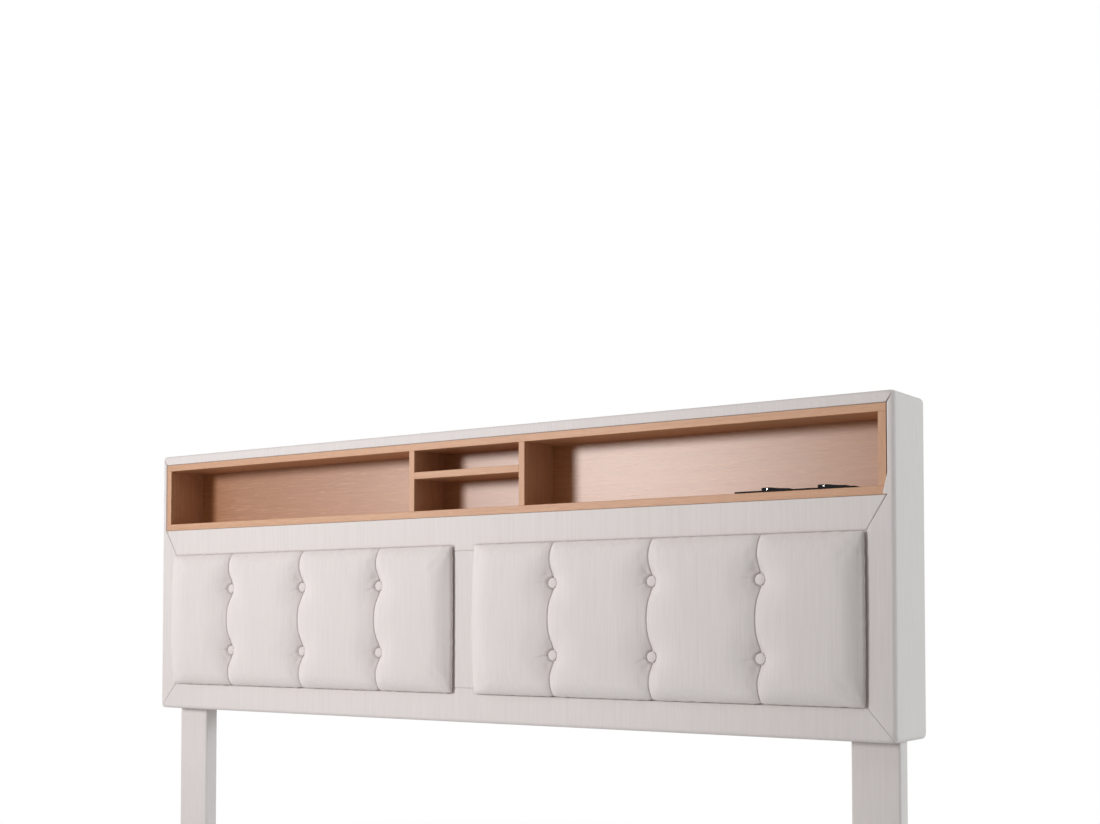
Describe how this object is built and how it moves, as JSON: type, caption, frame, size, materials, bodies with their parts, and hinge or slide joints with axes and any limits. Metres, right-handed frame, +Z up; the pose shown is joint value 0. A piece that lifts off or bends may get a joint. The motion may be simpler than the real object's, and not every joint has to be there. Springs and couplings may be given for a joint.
{
  "type": "upholstered bookcase headboard",
  "caption": "Wide upholstered headboard on two legs, with an open wooden bookcase, button-tufted cushions and a power strip under flip-up lids.",
  "frame": {"origin": "on the floor, in the middle of the width and of the whole depth", "axes": "+X to the right of someone facing the front, front towards -Y, +Z up"},
  "size_m": [2.03, 0.1741, 1.12],
  "materials": {
    "linen": "light greige linen-look weave",
    "back_cloth": "black non-woven cloth",
    "frame_wood": "raw plywood and softwood",
    "case_wood": "oak-look laminate, satin",
    "strip_black": "black, satin",
    "outlet_black": "black, matte",
    "lid_black": "black, half gloss",
    "pin_metal": "bright ends",
    "bolt_steel": "zinc plated",
    "foot_plastic": "black, matte"
  },
  "bodies": {
    "headboard": {"back_board": "frame_wood", "back_cloth": "back_cloth", "bottom_cover": "linen", "bottom_rail": "frame_wood", "case_back": "case_wood", "case_bottom": "case_wood", "case_left_side": "case_wood", "case_right_side": "case_wood", "case_screws": "bolt_steel", "case_top": "case_wood", "centre_cover": "linen", "centre_rib": "frame_wood", "cubby_shelf": "case_wood", "cushion_fixings": "bolt_steel", "face_board": "frame_wood", "left_cushion_board": "frame_wood", "left_cushion_pad": "linen", "left_end_panel": "frame_wood", "left_foot": "foot_plastic", "left_front_upright": "frame_wood", "left_hinge_pin": "pin_metal", "left_leg": "frame_wood", "left_leg_sleeve": "linen", "left_outlet": "outlet_black", "left_partition": "case_wood", "left_rear_upright": "frame_wood", "left_rib": "frame_wood", "left_side_cover": "linen", "left_tuft_buttons": "linen", "leg_bolts": "bolt_steel", "leg_tee_nuts": "bolt_steel", "leg_washers": "bolt_steel", "middle_cover": "linen", "middle_rail": "frame_wood", "plate_screws": "bolt_steel", "power_housing": "strip_black", "power_plate": "strip_black", "right_cushion_board": "frame_wood", "right_cushion_pad": "linen", "right_end_panel": "frame_wood", "right_foot": "foot_plastic", "right_front_upright": "frame_wood", "right_hinge_pin": "pin_metal", "right_leg": "frame_wood", "right_leg_sleeve": "linen", "right_outlet": "outlet_black", "right_partition": "case_wood", "right_rear_upright": "frame_wood", "right_rib": "frame_wood", "right_side_cover": "linen", "right_tuft_buttons": "linen", "shelf_dowels": "frame_wood", "top_cover": "linen", "top_rail": "frame_wood"},
    "left_lid": {"left_lid": "lid_black"},
    "right_lid": {"right_lid": "lid_black"}
  },
  "joints": [
    {"name": "left_lid_hinge", "type": "hinge", "parent": "headboard", "child": "left_lid", "pos_m": [0.746, -0.029, 0.9472], "axis": [0, -1, 0], "range_deg": [0, 100]},
    {"name": "right_lid_hinge", "type": "hinge", "parent": "headboard", "child": "right_lid", "pos_m": [0.866, -0.029, 0.9472], "axis": [0, -1, 0], "range_deg": [0, 100]}
  ]
}
